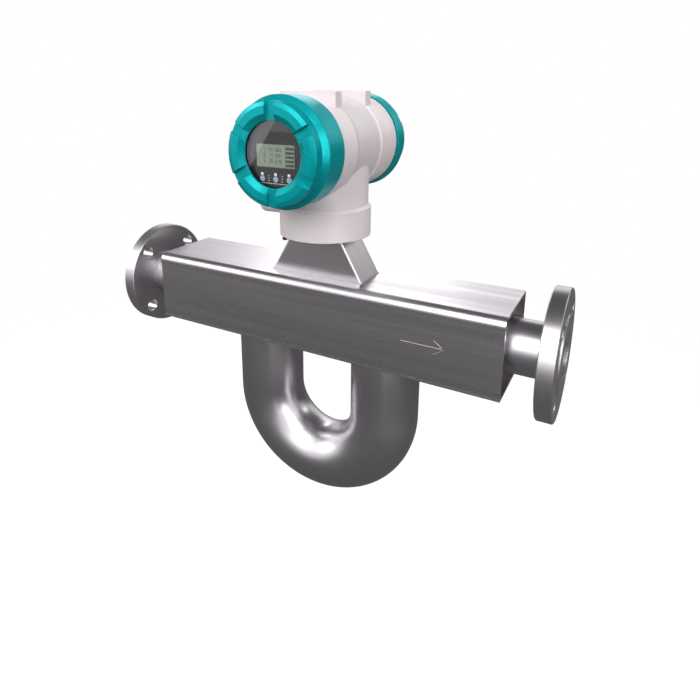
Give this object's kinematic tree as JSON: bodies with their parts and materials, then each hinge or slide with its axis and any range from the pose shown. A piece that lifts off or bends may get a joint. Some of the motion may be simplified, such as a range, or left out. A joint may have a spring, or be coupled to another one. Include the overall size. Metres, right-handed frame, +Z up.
{
  "type": "coriolis flow meter",
  "caption": "Coriolis mass flow meter with a U-shaped welded steel sensor between pipe flanges and a round field transmitter with a display that swivels on its neck.",
  "frame": {"origin": "centre of the inlet flange's raised face, on the pipe axis", "axes": "+X runs downstream along the pipe axis, +Z is up through the swivel axis of the transmitter, and the display faces -Y"},
  "size_m": [0.615, 0.245, 0.5571],
  "materials": {
    "satin_steel": "satin, brushed along the casing",
    "machined_steel": "machined",
    "tube_steel": "drawn and pickled",
    "plated_metal": "plated",
    "black_screw": "blackened",
    "grey_paint": "satin powder coat on a casting",
    "teal_paint": "semi-gloss paint on a casting",
    "black_plastic": "moulded",
    "terminal_plastic": "moulded",
    "circuit_board": "lacquered laminate",
    "display_face": "gloss",
    "display_glass": "reflective liquid-crystal glass",
    "key_lens": "clear lens over a light sensor",
    "winding": "enamelled copper wire",
    "brass_parts": "turned",
    "seal_rubber": "matt",
    "cable_rubber": "matt",
    "window": "polished"
  },
  "bodies": {
    "sensor": {"inlet_flange": "machined_steel", "outlet_flange": "machined_steel", "inlet_manifold": "tube_steel", "outlet_manifold": "tube_steel", "casing_front_sheet": "satin_steel", "casing_rear_sheet": "satin_steel", "inlet_end_plate": "satin_steel", "outlet_end_plate": "satin_steel", "u_casing": "satin_steel", "front_measuring_tube": "tube_steel", "rear_measuring_tube": "tube_steel", "tube_braces": "tube_steel", "coil_brackets": "tube_steel", "magnet_brackets": "tube_steel", "drive_coil": "winding", "pickoff_coils": "winding", "drive_magnet": "plated_metal", "pickoff_magnets": "plated_metal", "temperature_sensor": "plated_metal", "sensor_harness": "cable_rubber", "feedthrough": "plated_metal", "sensor_board": "circuit_board", "board_posts": "brass_parts", "neck_shroud": "satin_steel", "neck_spigot": "machined_steel", "spigot_oring": "seal_rubber", "spigot_nut": "plated_metal"},
    "transmitter": {"transmitter_housing": "grey_paint", "swivel_stop_pin": "plated_metal", "swivel_lock_screw": "black_screw", "brake_shoe": "brass_parts", "entry_plugs": "black_screw", "entry_seals": "seal_rubber", "earth_clamp": "plated_metal", "earth_screw": "plated_metal", "electronics_cassette": "black_plastic", "main_board": "circuit_board", "power_board": "circuit_board", "board_spacers": "brass_parts", "display_holder": "black_plastic", "display_case": "black_plastic", "display_board": "circuit_board", "display_faceplate": "display_face", "lcd_panel": "display_glass", "optical_keys": "key_lens", "terminal_base": "black_plastic", "terminal_blocks": "terminal_plastic", "terminal_screws": "plated_metal"},
    "front_cover_travel": {"front_lid_oring": "seal_rubber"},
    "front_cover": {"front_lid": "teal_paint", "window_gasket": "seal_rubber", "window_glass": "window", "window_ring": "plated_metal"},
    "rear_cover_travel": {"rear_lid_oring": "seal_rubber"},
    "rear_cover": {"rear_lid": "teal_paint"}
  },
  "joints": [
    {"name": "transmitter_swivel", "type": "hinge", "parent": "sensor", "child": "transmitter", "pos_m": [0.3075, 0, 0.1], "axis": [0, 0, 1], "range_deg": [-170, 170]},
    {"name": "front_cover_out", "type": "slide", "parent": "transmitter", "child": "front_cover_travel", "axis": [0, -1, 0], "range_m": [0, 0.0101]},
    {"name": "front_cover_turn", "type": "hinge", "parent": "front_cover_travel", "child": "front_cover", "pos_m": [0.3075, 0, 0.2166], "axis": [0, -1, 0], "range_deg": [0, 1800]},
    {"name": "rear_cover_out", "type": "slide", "parent": "transmitter", "child": "rear_cover_travel", "axis": [0, 1, 0], "range_m": [0, 0.0101]},
    {"name": "rear_cover_turn", "type": "hinge", "parent": "rear_cover_travel", "child": "rear_cover", "pos_m": [0.3075, 0, 0.2166], "axis": [0, 1, 0], "range_deg": [0, 1800]}
  ],
  "couplings": [
    {"joint": "front_cover_out", "follows": "front_cover_turn", "m_per_rad": 0.00031831},
    {"joint": "rear_cover_out", "follows": "rear_cover_turn", "m_per_rad": 0.00031831}
  ]
}
